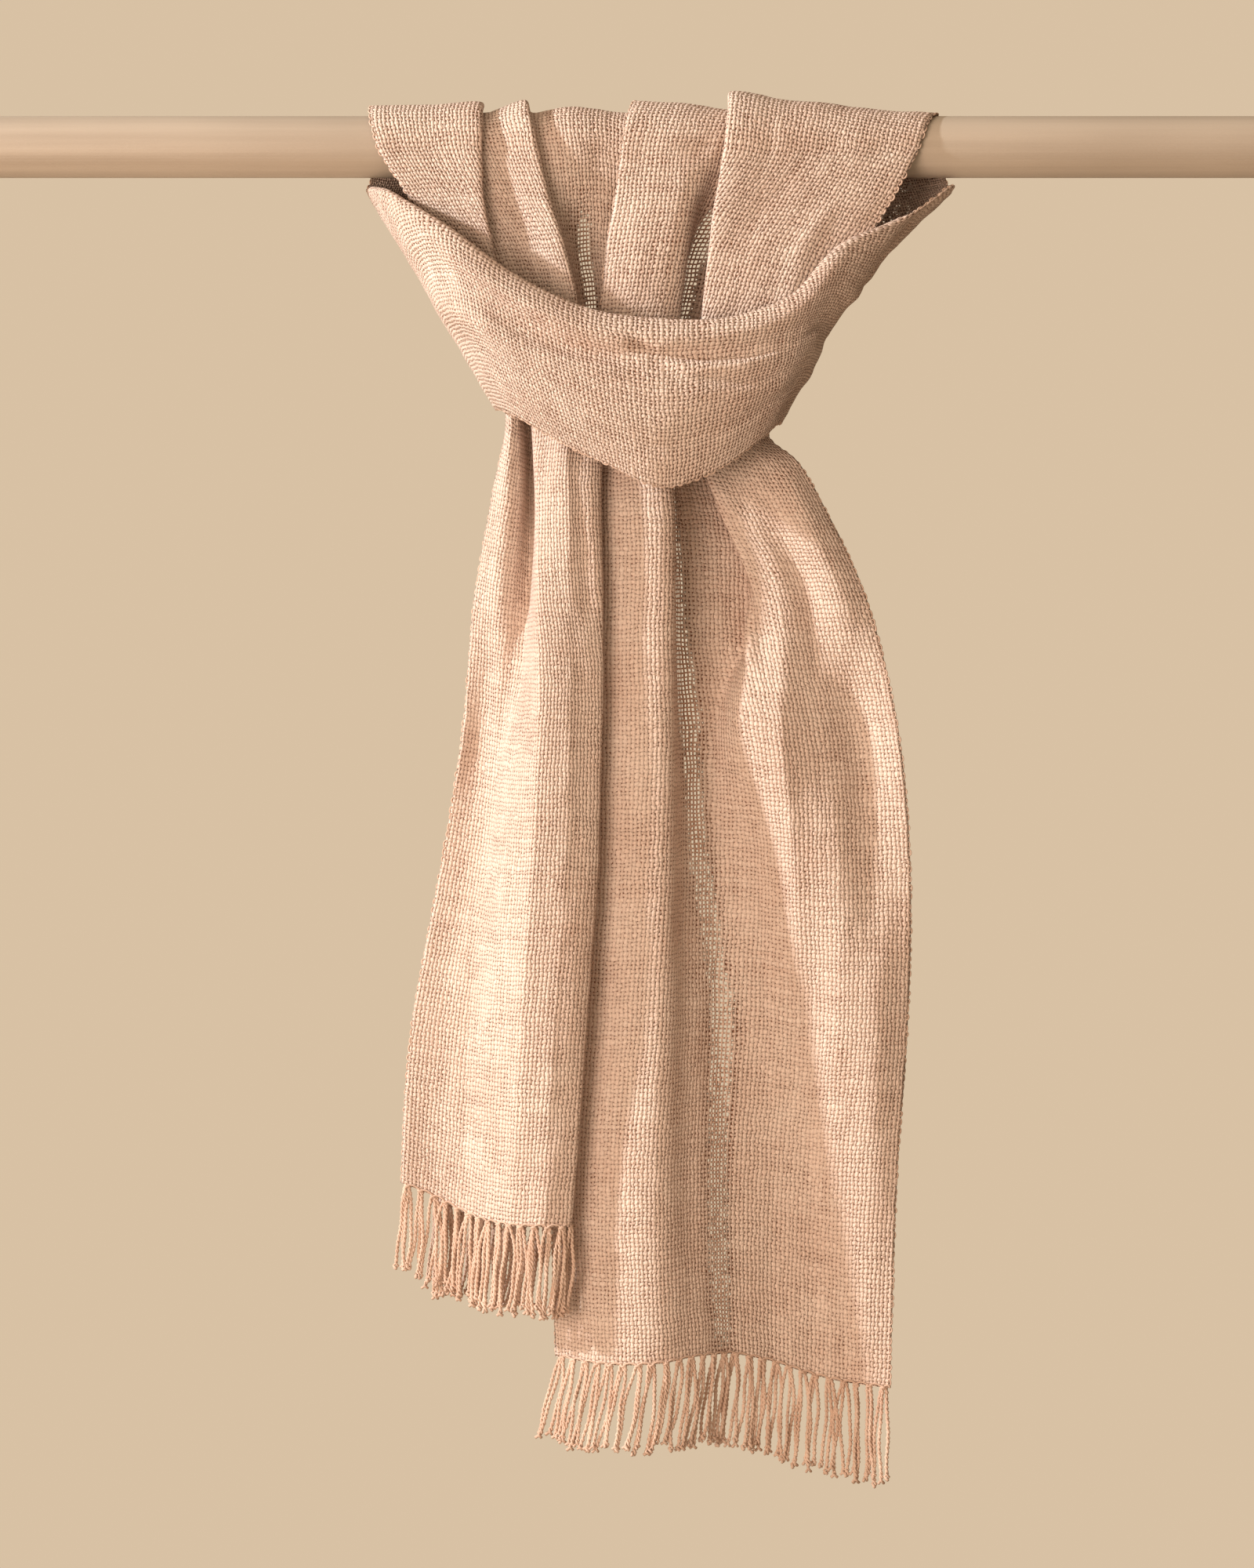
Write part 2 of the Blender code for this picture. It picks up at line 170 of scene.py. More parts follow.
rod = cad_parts["rod"]
rod.data.materials.clear()
rod.data.materials.append(painted_rail())

# --- The left half -------------------------------------------------------------------------------
# Half of one length of handwoven cotton, 0.22 m wide with a selvedge along both edges. It hangs in
# pleats in front of the rod, goes over it and down behind, and is held only by the hitch.
CUT_WIDTH = 0.22
THICKNESS = 0.0007
ROD_RADIUS = 17.5
ROW_STEP = 3.0

# A share of the cloth's width for each fold line, from the outer selvedge to the inner one, and the
# fold lines that turn back sharply.
FOLD_LINES = (0.0, 0.13, 0.26, 0.36, 0.46, 0.54, 0.64, 0.74, 0.87, 1.0)
TURNS = (2, 3, 4, 5)
TURN_RADIUS = 1.1
TURN_SHARE = 0.005
TURN_COLUMNS = 3
FOLD_COLUMNS = 8

# Hanging sections from hem to knot: height, then (x, y) at each fold line, in millimetres.
LEFT_HANGING = (
    (-604, ((-146, -1), (-126, -3), (-110, -10), (-98, -20), (-82, -34),
        (-64, -41), (-49, -37), (-58, -29), (-96, -10), (-129, 9))),
    (-507, ((-141, -1), (-124, -3), (-108, -9), (-94, -24), (-77, -40),
        (-59, -43), (-41, -37), (-49, -30), (-86, -12), (-121, 10))),
    (-406, ((-123, 3), (-108, 1), (-97, -8), (-88, -22), (-71, -42),
        (-52, -43), (-33, -36), (-40, -29), (-75, -11), (-105, 10))),
    (-331, ((-111, 0), (-100, 1), (-90, -8), (-81, -20), (-67, -42),
        (-49, -43), (-31.5, -36), (-40, -29), (-68, -9), (-94, 10))),
    (-256, ((-104, -4), (-94, -11), (-84, -12), (-74, -8), (-67.5, -37),
        (-50, -41), (-32.5, -35), (-40, -28), (-60, -6), (-84, 10))),
    (-195, ((-93, -14), (-86, -22), (-79, -19), (-72, -5), (-68, -31),
        (-50, -41), (-32.5, -34), (-39, -26), (-58, -6), (-80, 9))),
    (-152, ((-86, -17), (-84, -23), (-80, -22), (-74, -7), (-70, -28),
        (-53, -37), (-32.5, -31), (-38, -24), (-56, -8), (-76, 7))),
    (-124, ((-97, -19), (-91, -25), (-84, -27), (-79, -18), (-70, -30),
        (-52, -34), (-39, -30), (-44, -17), (-47, -8), (-46, 1))),
    (-97, ((-107, -20), (-97, -26), (-84, -31), (-90, -24), (-70, -26),
        (-46, -31), (-46, -25), (-41, -9), (-26, -12), (-9, -15))),
    (-59, ((-122, -18), (-108, -25), (-93, -29), (-102, -23), (-78, -22),
        (-54, -31), (-55, -25), (-46, -7), (-26, -9), (-7, -11))),
    (-33, ((-139, -21), (-119, -25), (-98.5, -28), (-109, -22), (-84, -22),
        (-62, -30), (-62, -23), (-49, -16), (-26, -15), (-5, -13))),
)
LEFT_HEM = (-588, -596, -604, -608, -610, -610, -610, -608, -603, -600)

# Round the rod: degrees from its top towards the front, then (x, lift off the rod) at each fold line.
LEFT_ON_ROD = (
    (100, ((-158, 4), (-129, 5), (-100, 6), (-113, 3.4), (-92, 1.6),
        (-69, 8.4), (-66, 2.2), (-48, 4), (-24, 2.2), (-3, 1.4))),
    (50, ((-163, 5), (-131, 5.6), (-100, 6), (-116, 3.5), (-95, 1.6),
        (-73.5, 8.4), (-70, 2), (-50, 4.4), (-24, 2.2), (-2, 1.3))),
    (0, ((-163, 5.5), (-131, 6), (-100, 6.2), (-117, 3.6), (-96, 1.8),
        (-76, 8.4), (-73, 2.2), (-51, 4.6), (-24, 2.2), (-1, 1.3))),
    (-50, ((-163, 4.5), (-134, 5.4), (-108, 6.8), (-115, 3.2), (-101, 1.8),
        (-82, 5), (-78, 1.8), (-60, 2.4), (-36, 1.6), (-14, 1.3))),
    (-100, ((-164, 3.5), (-142, 4.6), (-124, 5.4), (-114, 3), (-104, 1.8),
        (-91, 3.2), (-85, 1.8), (-69, 2), (-50, 1.6), (-30, 1.4))),
)

# The swag's sections, which the halves run into behind the rod. Columns: which way the cloth faces
# (0 is the viewer, -90 the left), top edge (x, y, z), low edge (x, y, z), the share of the width
# turned in behind the top edge, how far the middle bulges, and the trough's place and depth.
SWAG_SECTIONS = (
    ("left leg, upper", -172, (-164, 12, -19), (-46, 20, -32), 0.0, 3, 0.40, 0.0),
    ("left leg, lower", -150, (-165, 7, -23), (-66, 13, -97), 0.0, 5, 0.40, 0.0),
    ("left turn, back", -120, (-164, 2, -23), (-83, 3, -139), 0.03, 3, 0.38, 0.0),
    ("left turn", -88, (-160, -8, -24), (-88, -9, -149), 0.12, 2, 0.36, 0.0),
    ("left turn, front", -55, (-150, -22, -28), (-87, -28, -151), 0.24, 4, 0.34, 1.0),
    ("left front", -38, (-117, -41, -50), (-79, -42, -155), 0.38, 9, 0.32, 2.0),
    ("left quarter", -22, (-80, -48, -77), (-55, -49, -170), 0.42, 13, 0.30, 4.0),
    ("left of middle", -8, (-40, -52, -96), (-27, -51, -184), 0.42, 15, 0.28, 4.5),
    ("middle", 0, (0, -53, -102), (2, -51, -196), 0.42, 15, 0.25, 5.0),
    ("right of middle", 10, (40, -51, -101), (31, -47, -187), 0.42, 13, 0.22, 5.0),
    ("right quarter", 24, (74, -46, -88), (54, -41, -170), 0.34, 10, 0.28, 4.0),
    ("right front", 42, (101, -38, -60), (64, -34, -160), 0.15, 7, 0.42, 3.0),
    ("right turn, front", 62, (134, -25, -44), (67, -22, -158), 0.0, -1, 0.50, 2.0),
    ("right turn", 90, (165, -8, -23), (67, -6, -157), 0.0, -14, 0.50, 0.0),
    ("right turn, back", 120, (166, 3, -24), (65, 5, -146), 0.0, -9, 0.50, 0.0),
    ("right leg, lower", 150, (166, 8, -24), (52, 14, -100), 0.0, 6, 0.50, 0.0),
    ("right leg, upper", 172, (165, 13, -19), (32, 20, -34), 0.0, 3, 0.50, 0.0),
)
FOLD_RADIUS = 3.0
TUCK_SLACK = 1.25
TOP_ROLL = 0.16
TROUGH_WIDTH = 0.09
MIDDLE_SWELL = 0.7
EDGE_FLATTENING = 0.8
FLAT_FROM = 0.55
SWAG_ROWS = 12

# Creases of the left half: place across (a share of the width) and along from the hem (in
# millimetres) at both ends, then half the width and the height, which is under 0 in a trough.
LEFT_CREASES = (
    (0.50, 470, 0.55, 330, 7, 1.6),
    (0.58, 455, 0.60, 250, 6, -1.3),
    (0.47, 400, 0.52, 180, 8, 1.2),
    (0.60, 300, 0.56, 90, 9, 1.0),
    (0.53, 240, 0.50, 60, 7, -1.1),
    (0.09, 420, 0.12, 260, 6, -1.4),
    (0.18, 330, 0.10, 150, 8, 1.2),
    (0.30, 260, 0.24, 80, 7, -1.2),
    (0.80, 380, 0.86, 120, 11, 1.8),
    (0.92, 300, 0.78, 90, 10, -1.6),
    (0.55, 600, 0.52, 520, 5, -1.0),
    (0.16, 590, 0.20, 520, 6, 1.2),
)

# Bands of wide-set yarns: share across and place along from the hem at both ends, half the width, and
# how open they are. The hitch also opens the cloth a little. The most open bands lie deep in the folds,
# and shade is painted on them as a dark brown tint.
HITCH_LOOSENESS = 0.24
LEFT_OPEN = (
    (0.785, 515, 0.785, 560, 7, 1.0),
    (0.50, 660, 0.50, 760, 120, 0.60),
)


def smooth_line(points, per_span):
    """A centripetal Catmull-Rom curve through points, or through whole rows of points side by side."""
    rows = np.asarray(points, float)
    rows = np.concatenate([2 * rows[:1] - rows[1:2], rows, 2 * rows[-1:] - rows[-2:-1]])
    spans = len(rows) - 3
    counts = [per_span] * spans if np.isscalar(per_span) else list(per_span)
    found = [rows[1]]

    def between(first, second, start, end, at):
        share = (at - start) / (end - start)
        return first * (1 - share) + second * share

    for index, count in enumerate(counts):
        p0, p1, p2, p3 = rows[index : index + 4]
        gaps = np.linalg.norm(np.diff(rows[index : index + 4], axis=0), axis=-1, keepdims=True)
        steps = np.sqrt(gaps) + 1e-3
        t0 = np.zeros_like(steps[0])
        t1 = steps[0]
        t2 = t1 + steps[1]
        t3 = t2 + steps[2]
        for place in range(1, count + 1):
            at = t1 + (t2 - t1) * place / count
            a1 = between(p0, p1, t0, t1, at)
            a2 = between(p1, p2, t1, t2, at)
            a3 = between(p2, p3, t2, t3, at)
            found.append(between(between(a1, a2, t0, t2, at), between(a2, a3, t1, t3, at), t1, t2, at))
    return np.array(found)


def on_rod(table):
    """Sections round the rod from rows of degrees and (x, lift)."""
    flat = [(angle, *np.ravel(lifts)) for angle, lifts in table]
    found = []
    for angle, *lifts in smooth_line(flat, 3):
        pairs = np.reshape(lifts, (-1, 2))
        reach = ROD_RADIUS + pairs[:, 1]
        turn = math.radians(angle)
        found.append(np.stack([pairs[:, 0], -reach * math.sin(turn), reach * math.cos(turn)], axis=1))
    return found


def swag_section(row, shares):
    """One section of the swag at the given shares of the width, round its top fold."""
    facing, turned, bulge, trough_at, trough = row[[0, 7, 8, 9, 10]]
    top = row[1:4]
    low = row[4:7]
    out = np.array([math.sin(math.radians(facing)), -math.cos(math.radians(facing)), 0.0])
    width = CUT_WIDTH / MM
    past = (np.asarray(shares) - turned) * width
    reach = math.hypot((1 - turned) * width, FOLD_RADIUS) - FOLD_RADIUS
    down = np.where(past < 0, TUCK_SLACK, 1.0) * (np.hypot(past, FOLD_RADIUS) - FOLD_RADIUS) / reach
    swell = bulge * (1 - (1 - np.minimum(down / TOP_ROLL, 1.0)) ** 2)
    swell *= MIDDLE_SWELL + (1 - MIDDLE_SWELL) * np.sin(np.pi * down)
    swell *= 1 - EDGE_FLATTENING * np.maximum(0.0, (down - FLAT_FROM) / (1 - FLAT_FROM)) ** 2
    swell -= trough * np.exp(-(((down - trough_at) / TROUGH_WIDTH) ** 2))
    swell += FOLD_RADIUS * np.tanh(past / FOLD_RADIUS)
    return top + (low - top) * down[:, None] + out * swell[:, None]


def rounded(section, turns):
    """A section with each sharp turn parted in two, so that the cloth turns back on a radius."""
    found = []
    for index, place in enumerate(section):
        if index not in turns:
            found.append(place)
            continue
        before = section[index - 1] - place
        after = section[index + 1] - place
        side = before / np.linalg.norm(before) - after / np.linalg.norm(after)
        side *= TURN_RADIUS / np.linalg.norm(side)
        found += [place + side, place - side]
    return found


def half_of_scarf(hanging, around, hem_heights, legs, outer_first):
    """The grid of points of one half, in millimetres: a row for each 3 mm or so from the hem up."""
    sections = [[(x, y, z) for (x, y), z in zip(hanging[0][1], hem_heights)]]
    sections += [[(x, y, z) for x, y in pairs] for z, pairs in hanging[1:]]
    last = len(FOLD_LINES) - 1
    turns = TURNS if outer_first else [last - turn for turn in TURNS]
    sections = [rounded(np.array(section, float), turns) for section in sections + on_rod(around)]
    line_shares = []
    columns = []
    for index, share in enumerate(FOLD_LINES):
        sharp = index in TURNS
        line_shares += [share - TURN_SHARE, share + TURN_SHARE] if sharp else [share]
        columns += [TURN_COLUMNS, FOLD_COLUMNS] if sharp else [FOLD_COLUMNS]
    order = 1 if outer_first else -1
    sections += [swag_section(row, line_shares[::order]) for row in legs]
    columns = columns[:-1][::order]
    sections = np.array(sections)
    gaps = np.linalg.norm(np.diff(sections, axis=0), axis=-1).max(axis=1)
    rows = [max(2, round(gap / ROW_STEP)) for gap in gaps[:-1]]
    lengthwise = smooth_line(sections, rows + [1])[:-1]
    return np.swapaxes(smooth_line(np.swapaxes(lengthwise, 0, 1), columns), 0, 1)


def woven_places(grid, outer_first):
    """Where each point of a grid lies on the flat cut: metres across from the outer selvedge and along."""
    across = np.linalg.norm(np.diff(grid, axis=1), axis=2).cumsum(axis=1)
    across = np.concatenate([np.zeros((len(grid), 1)), across], axis=1)
    across *= CUT_WIDTH / across[:, -1:]
    if not outer_first:
        across = CUT_WIDTH - across
    along = np.linalg.norm(np.diff(grid, axis=0), axis=2).cumsum(axis=0) * MM
    along = np.concatenate([np.zeros((1, grid.shape[1])), along])
    along = 0.6 * along.mean(axis=1, keepdims=True) + 0.4 * along
    return across, along


def crease(across, along, creases, seed):
    """How far creases and the slack of loose weaving lift the cloth off its form, in millimetres."""
    lift = np.zeros(across.shape)
    u = across / MM
    v = along / MM
    for u0, v0, u1, v1, width, height in creases:
        u0 *= CUT_WIDTH / MM
        u1 *= CUT_WIDTH / MM
        run = math.hypot(u1 - u0, v1 - v0)
        du = (u1 - u0) / run
        dv = (v1 - v0) / run
        at = ((u - u0) * du + (v - v0) * dv) / run
        off = (u - u0) * dv - (v - v0) * du + 0.12 * width * np.sin(at * 9.0 + seed)
        taper = np.clip(1 - (2 * at - 1) ** 2, 0, 1) ** 0.75
        lift += height * taper * np.exp(-((off / width) ** 2))
    for index, (p, q) in enumerate(zip(u.ravel(), v.ravel())):
        slack = 0.55 * noise.noise((p / 16, q / 55, seed)) + 0.30 * noise.noise((p / 7, q / 14, seed + 9.0))
        lift.flat[index] += slack
    return lift


def open_band(across, along, bands):
    """How open the weave is: most along each band, and a little wherever the hitch pulls the cloth."""
    found = HITCH_LOOSENESS * np.clip((along / MM - 500) / 60, 0, 1)
    for u0, v0, u1, v1, half, strength in bands:
        at = np.clip((along / MM - v0) / (v1 - v0), 0, 1)
        centre = CUT_WIDTH * (u0 + (u1 - u0) * at)
        near = np.exp(-(((across - centre) / (half * MM)) ** 4))
        past = np.maximum(np.maximum(v0 - along / MM, along / MM - v1), 0)
        found = np.maximum(found, strength * near * np.exp(-((past / 25) ** 2)))
    return found


def cloth(name, grid, across, along, lift, looseness):
    """A sheet of the cloth: a grid laid on the given points, lifted, and given its thickness."""
    rows, columns = grid.shape[:2]
    runs = np.gradient(grid, axis=0)
    lifts = np.cross(runs, np.gradient(grid, axis=1))
    lifts /= np.maximum(np.linalg.norm(lifts, axis=2, keepdims=True), 1e-9)
    places = (grid + lifts * lift[:, :, None]).reshape(-1, 3) * MM
    across = across.ravel()
    along = along.ravel()
    looseness = looseness.ravel()
    work = bmesh.new()
    bmesh.ops.create_grid(work, x_segments=columns - 1, y_segments=rows - 1, size=0.5)
    cut = work.loops.layers.uv.new("cut")
    loose = work.verts.layers.float.new("loose")
    order = sorted(work.verts, key=lambda v: (round(v.co.y, 5), round(v.co.x, 5)))
    for index, vertex in enumerate(order):
        vertex.co = Vector(places[index])
        vertex.index = index
        vertex[loose] = looseness[index]
    for face in work.faces:
        face.smooth = True
        for corner in face.loops:
            index = corner.vert.index
            corner[cut].uv = (across[index], along[index])
    mesh = bpy.data.meshes.new(name)
    work.to_mesh(mesh)
    work.free()
    piece = bpy.data.objects.new(name, mesh)
    bpy.context.scene.collection.objects.link(piece)
    wall = piece.modifiers.new("thickness", "SOLIDIFY")
    wall.thickness = THICKNESS
    wall.offset = 0.0
    return piece


WARP_ENDS = 90
WEFT_PITCH = 0.00250
TWIST_LENGTH = 0.0013


def handwoven():
    """Loose plain weave: warp and weft over and under each other, uneven yarns, and open gaps, with shade
    painted dark into the gaps between yarns and along the most open bands.
    """
    finish = Finish("handwoven_cotton", Roughness=0.95, Specular_IOR_Level=0.06)
    warp_pitch = CUT_WIDTH / WARP_ENDS
    flat = finish.node("UVMap", {"uv_map": "cut"}).outputs["UV"]
    parts = finish.node("SeparateXYZ", Vector=flat)
    across = Value(finish.tree, parts.outputs["X"])
    along = Value(finish.tree, parts.outputs["Y"])
    drift = finish.node("TexNoise", Vector=flat, Scale=85.0, Detail=1.0)
    drifts = finish.node("SeparateColor", Color=drift.outputs["Color"])
    jolt = finish.node("TexNoise", Vector=flat, Scale=420.0, Detail=0.0)
    jolts = finish.node("SeparateColor", Color=jolt.outputs["Color"])
    drift_across = (Value(finish.tree, drifts.outputs[0]) - 0.5) * 0.0022
    drift_along = (Value(finish.tree, drifts.outputs[1]) - 0.5) * 0.0026
    jolt_across = (Value(finish.tree, jolts.outputs[0]) - 0.5) * 0.0011
    jolt_along = (Value(finish.tree, jolts.outputs[1]) - 0.5) * 0.0015
    loose = Value(finish.tree, finish.node("Attribute", {"attribute_name": "loose"}).outputs["Fac"])
    steady = 1.0 - loose.rise(0.30, 0.70) * 0.75
    a = (across + drift_across + jolt_across * steady) / warp_pitch
    b = (along + drift_along + jolt_along * steady) / WEFT_PITCH
    end = a.floor()
    pick = b.floor()
    beside = (a - end - 0.5) * 2.0
    beyond = (b - pick - 0.5) * 2.0
    turn = (end + pick) * math.pi
    side = turn.cosine()
    warp_yarn = finish.speckle(finish.vector(end * 3.71, along * 34.0, 0.0), 1.0)
    weft_yarn = finish.speckle(finish.vector(pick * 2.93, across * 34.0, 5.0), 1.0)
    slack = loose.least(0.55)
    warp_half = warp_yarn * 0.70 + 0.35 - slack * 0.30
    weft_half = weft_yarn * 0.65 + 0.39 - slack * 0.26
    near_end = (a + 0.5).floor()
    near_pick = (b + 0.5).floor()
    luck = finish.node("TexWhiteNoise", Vector=finish.vector(near_end, near_pick, 0.0)).outputs["Value"]
    hole = (loose + (Value(finish.tree, luck) - 0.5) * 0.3).rise(0.45, 0.95) * 0.41 - 0.05
    from_hole = abs(a - near_end).most(abs(b - near_pick) * 1.1)
    # Each yarn's top: up and down along its run, and falling away to its sides.
    warp_wave = side * (beyond * (math.pi / 2)).cosine() * 0.5
    weft_wave = side * (beside * (math.pi / 2)).cosine() * 0.5
    warp_top = warp_wave + 0.5 - (beside * beside) / (warp_half * warp_half) * 0.5
    weft_top = 0.5 - weft_wave - (beyond * beyond) / (weft_half * weft_half) * 0.5
    height = warp_top.most(weft_top)
    warp_shows = warp_top.over(weft_top)
    yarn = warp_yarn * warp_shows + weft_yarn * (1.0 - warp_shows)
    run = along * warp_shows + across * (1.0 - warp_shows)
    lean = beside * warp_shows + beyond * (1.0 - warp_shows)
    twist = (run * (2 * math.pi / TWIST_LENGTH) + lean * 2.2).cosine()
    fluff = finish.speckle(flat, 2600.0, 1.0)
    patch = finish.speckle(flat, 22.0, 2.0)
    tone = yarn * 0.4 + (fluff - 0.5) * 0.5 + (patch - 0.5) * 0.4 + 0.30
    fibre = finish.blend(tone.rise(0.15, 0.85), (0.69, 0.50, 0.415, 1), (0.89, 0.755, 0.675, 1))
    # Painted shade: the most open bands of the weave, which lie deep in the folds, are tinted dark brown.
    painted_band_shade = finish.blend(loose.rise(0.78, 1.00) * 0.60, fibre, (0.46, 0.21, 0.11, 1))
    # Painted shade: where a yarn dips down between its neighbours, its colour turns dark brown, as the gaps
    # between yarns lie in shade.
    painted_crevice_shade = finish.blend(height.rise(-0.34, 0.18), (0.24, 0.10, 0.055, 1), painted_band_shade)
    finish.feed(finish.shader.inputs["Base Color"], painted_crevice_shade)
    finish.feed(finish.shader.inputs["Alpha"], (from_hole - hole).rise(-0.04, 0.04))
    finish.relief((height.most(-0.6) * 0.00095) + (twist * 0.00006) + fluff * 0.00016)
    return finish.material


cotton = handwoven()
swag_table = [(facing, *top, *low, *rest) for _, facing, top, low, *rest in SWAG_SECTIONS]
swag_rows = smooth_line(swag_table, SWAG_ROWS)
leg_rows = [0, SWAG_ROWS // 2, SWAG_ROWS, SWAG_ROWS + SWAG_ROWS // 2]
left_grid = half_of_scarf(LEFT_HANGING, LEFT_ON_ROD, LEFT_HEM, [swag_rows[row] for row in leg_rows], True)
left_across, left_along = woven_places(left_grid, True)
left_lift = crease(left_across, left_along, LEFT_CREASES, 1.7)
left_loose = open_band(left_across, left_along, LEFT_OPEN)
left_half = cloth("left_half", left_grid, left_across, left_along, left_lift, left_loose)
left_half.data.materials.append(cotton)
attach(left_half, "root")
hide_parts("left_tail", "left_fall", "left_back")

# --- The right half ------------------------------------------------------------------------------
# The other half of the same length, a little longer than the left one and behind it. Its inner edge
# is a soft roll, its middle a deep valley, and its outer third a flap that turns towards the viewer.
RIGHT_HANGING = (
    (-687, ((-58, -14), (-30, -32), (0, -38), (20, -29), (42, -11),
        (64, -3), (88, -2), (106, -4), (119, -11), (131, -15))),
    (-582, ((-60, -8), (-37, -27), (0, -36), (19, -21), (40, -7),
        (64, -3), (86, -5), (103, -14), (120, -20), (135, -18))),
    (-494, ((-54, -5), (-34, -25), (3, -32), (16, -17), (34, -5),
        (60, -4), (81, -12), (103, -22), (123, -25), (141, -19))),
    (-406, ((-48, -3), (-29, -25), (4, -32), (15, -13), (32, -3),
        (56, -7), (77, -26), (101, -27), (123, -23), (142, -25))),
    (-331, ((-45, -2), (-27.5, -25), (5, -31), (14, -9), (30, -2),
        (46, -22), (69, -31), (90, -24), (112, -18), (135, -28))),
    (-256, ((-43, -2), (-26, -25), (6.6, -31), (13, -7), (56, -3),
        (54, -18), (68, -22), (84, -19), (101, -28), (117, -23))),
    (-208, ((-49, -7), (-22, -28), (7, -31), (12, -5), (50, 0),
        (36, -17), (51, -22), (64, -24), (80, -29), (95, -20))),
    (-180, ((-47, -8), (-21, -28), (6, -30), (12, -4), (41, 0),
        (27, -16), (42, -21), (56, -23), (68, -21), (79, -16))),
    (-164, ((-46, -8), (-20, -28), (6, -28), (12, -4), (37, 0),
        (23, -17), (36, -22), (47, -23), (55, -20), (62, -14))),
    (-130, ((-38, -18), (-16, -30), (9, -27), (13, -5), (40, -5),
        (24, -23), (39, -27), (53, -27), (64, -24), (74, -20))),
    (-97, ((-33, -26), (-13, -31), (11, -26), (14, -6), (44, -9),
        (25, -28), (45, -31), (66, -30), (84, -28), (96, -25))),
    (-59, ((-29, -26), (-8, -30), (15, -26), (20, -3), (51, -8),
        (29.5, -27), (54, -29), (76, -28), (97, -26), (116, -23))),
    (-33, ((-24.6, -26), (-4, -28), (19, -25), (27, -10), (56, -15),
        (32.6, -27), (60, -27), (85, -26), (110, -25), (131.6, -23))),
)
RIGHT_HEM = (-685, -688, -687, -684, -684, -689, -697, -701, -702, -703)
RIGHT_ON_ROD = (
    (100, ((-21, 8), (6, 7.6), (31, 4), (42, 2.2), (58, 3.4),
        (37.4, 9.5), (66, 8.4), (94, 6.6), (122, 4.6), (147, 2.4))),
    (50, ((-17, 8), (8, 7.6), (36, 4), (49, 2), (63, 3.4),
        (40, 11), (67, 9), (94, 6.6), (124, 4), (153, 1.8))),
    (0, ((-12.5, 8.3), (12, 7), (38, 3.4), (52, 2), (66, 3.4),
        (42, 12.6), (70, 9), (97, 7), (127, 3), (159, 1.5))),
    (-50, ((-6, 6), (18, 5.6), (42, 3.4), (54, 2), (64, 3.2),
        (57, 7.8), (79, 6.4), (101, 4.6), (130, 2.6), (160, 1.5))),
    (-100, ((12, 3), (32, 4), (50, 3), (58, 2), (65, 2.8),
        (76, 5.4), (93, 5), (112, 4), (137, 3), (161, 2))),
)
RIGHT_CREASES = (
    (0.40, 520, 0.30, 380, 9, 1.8),
    (0.33, 560, 0.22, 450, 7, -1.5),
    (0.22, 470, 0.16, 300, 9, -1.6),
    (0.28, 380, 0.24, 180, 10, 1.3),
    (0.12, 400, 0.10, 220, 7, 1.3),
    (0.40, 330, 0.36, 120, 9, -1.3),
    (0.18, 230, 0.22, 60, 9, -1.1),
    (0.88, 520, 0.90, 300, 8, -1.2),
    (0.84, 330, 0.88, 110, 8, 1.3),
    (0.52, 420, 0.50, 200, 9, 1.2),
    (0.58, 250, 0.54, 60, 8, -1.1),
    (0.42, 462, 0.41, 395, 7, 5.0),
    (0.335, 462, 0.36, 396, 4, -5.0),
    (0.30, 690, 0.34, 610, 8, 1.0),
    (0.16, 680, 0.14, 600, 7, -1.2),
)

RIGHT_OPEN = (
    (0.485, 20, 0.50, 200, 10, 0.90),
    (0.50, 200, 0.575, 290, 9, 0.88),
    (0.575, 290, 0.60, 370, 9, 0.94),
    (0.60, 370, 0.64, 495, 12, 1.0),
    (0.675, 600, 0.675, 665, 8, 1.0),
    (0.50, 760, 0.50, 860, 120, 0.62),
)

right_legs = [swag_rows[len(swag_rows) - 1 - row] for row in leg_rows]
right_grid = half_of_scarf(RIGHT_HANGING, RIGHT_ON_ROD, RIGHT_HEM, right_legs, False)
right_across, right_along = woven_places(right_grid, False)
right_lift = crease(right_across, right_along, RIGHT_CREASES, 4.2)
right_loose = open_band(right_across, right_along, RIGHT_OPEN)
right_half = cloth("right_half", right_grid, right_across, right_along, right_lift, right_loose)
right_half.data.materials.append(cotton)
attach(right_half, "root")
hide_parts("right_tail", "right_fall", "right_back")

# --- The swag ------------------------------------------------------------------------------------
# The middle of the length, where the scarf is folded in half. It comes forward under the rod at both
# sides and crosses in front of both halves, with its top edge turned in and its lower edge hanging.
SWAG_CREASES = (
    (0.66, 110, 0.56, 215, 6, -2.4),
    (0.54, 195, 0.61, 295, 5, -2.6),
    (0.61, 280, 0.52, 345, 5, -2.4),
    (0.575, 200, 0.625, 268, 4, 2.2),
    (0.625, 255, 0.575, 318, 4, 2.0),
    (0.64, 228, 0.72, 292, 5, -2.2),
    (0.69, 225, 0.78, 300, 6, 1.4),
    (0.49, 196, 0.66, 226, 3.5, -1.5),
    (0.51, 222, 0.60, 200, 3.5, 1.2),
    (0.50, 40, 0.58, 160, 8, -1.8),
    (0.62, 30, 0.72, 140, 9, 1.6),
    (0.80, 60, 0.78, 170, 9, -1.4),
    (0.88, 180, 0.84, 300, 8, -1.6),
    (0.35, 320, 0.45, 400, 8, 1.8),
    (0.60, 320, 0.62, 400, 8, -1.8),
    (0.78, 310, 0.74, 395, 8, 1.4),
)


LEAST_TURN = 0.02
TUCK_COLUMNS = 12
FRONT_COLUMNS = 56
COLUMN_CROWDING = 1.2


def swag_shares(turned):
    """The width's shares at which the swag has its columns, with one of them on the top fold."""
    turned = max(turned, LEAST_TURN)
    back = turned * np.linspace(0.0, 1.0, TUCK_COLUMNS, endpoint=False)
    front = turned + (1 - turned) * (np.arange(FRONT_COLUMNS + 1) / FRONT_COLUMNS) ** COLUMN_CROWDING
    return np.concatenate([back, front])


